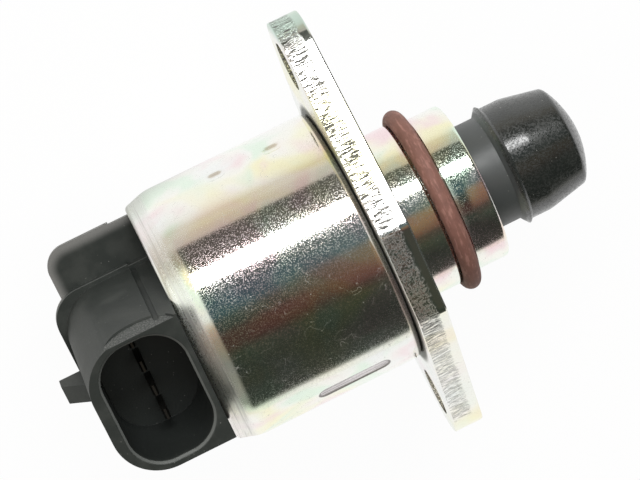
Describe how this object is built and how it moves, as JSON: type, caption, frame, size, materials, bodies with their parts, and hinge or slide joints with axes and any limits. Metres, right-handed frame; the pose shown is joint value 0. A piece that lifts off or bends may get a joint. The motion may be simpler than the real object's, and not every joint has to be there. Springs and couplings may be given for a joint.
{
  "type": "idle air control valve",
  "caption": "Flanged stepper valve that meters idle air: plated can with a side-facing plug socket, sealed spigot, and a screw-driven sliding pintle.",
  "frame": {"origin": "on the valve axis, in the flange's seating face, midway between the bolt holes", "axes": "+X along the valve axis to the pintle's tip, Y through both bolt holes, +Z the way the socket opens"},
  "size_m": [0.0745, 0.062, 0.0386],
  "materials": {
    "plated_can": "bright zinc plate",
    "plated_flange": "zinc plate, punched edges",
    "plated_spigot": "bright zinc plate, turned",
    "brown_rubber": "matt",
    "black_moulding": "satin, lightly dusty",
    "pintle_plastic": "satin",
    "shaft_steel": "ground",
    "nut_brass": "turned",
    "rotor_moulding": "natural",
    "magnet_ferrite": "ground",
    "pole_steel": "plain zinc plate",
    "bobbin_moulding": "natural",
    "copper_wire": "enamelled copper",
    "bearing_steel": "polished",
    "cage_steel": "pressed",
    "spring_steel": "hardened",
    "sintered_bronze": "sintered",
    "black_rubber": "matt",
    "tinned_brass": "tinned"
  },
  "bodies": {
    "housing": {"motor_can": "plated_can", "mounting_flange": "plated_flange", "spigot_housing": "plated_spigot", "o_ring": "brown_rubber", "connector_body": "black_moulding", "front_pole_plate_a": "pole_steel", "front_pole_plate_b": "pole_steel", "rear_pole_plate_a": "pole_steel", "rear_pole_plate_b": "pole_steel", "front_bobbin": "bobbin_moulding", "rear_bobbin": "bobbin_moulding", "front_coil": "copper_wire", "rear_coil": "copper_wire", "bearing_outer_race": "bearing_steel", "bearing_balls": "bearing_steel", "bearing_cage": "cage_steel", "rear_bush": "sintered_bronze", "preload_washer": "spring_steel", "rear_seal": "black_rubber", "terminal_1": "tinned_brass", "terminal_2": "tinned_brass", "terminal_3": "tinned_brass", "terminal_4": "tinned_brass"},
    "rotor": {"lead_screw": "shaft_steel", "rotor_core": "rotor_moulding", "rotor_magnet": "magnet_ferrite", "bearing_inner_race": "bearing_steel", "shaft_clip": "spring_steel"},
    "plunger": {"pintle": "pintle_plastic", "pintle_nut": "nut_brass"}
  },
  "joints": [
    {"name": "rotor_turn", "type": "hinge", "parent": "housing", "child": "rotor", "pos_m": [0, 0, 0], "axis": [1, 0, 0], "range_deg": [-1800, 1152]},
    {"name": "pintle_slide", "type": "slide", "parent": "housing", "child": "plunger", "axis": [1, 0, 0], "range_m": [-0.0032, 0.005]}
  ],
  "couplings": [
    {"joint": "pintle_slide", "follows": "rotor_turn", "m_per_rad": -0.00015915}
  ]
}
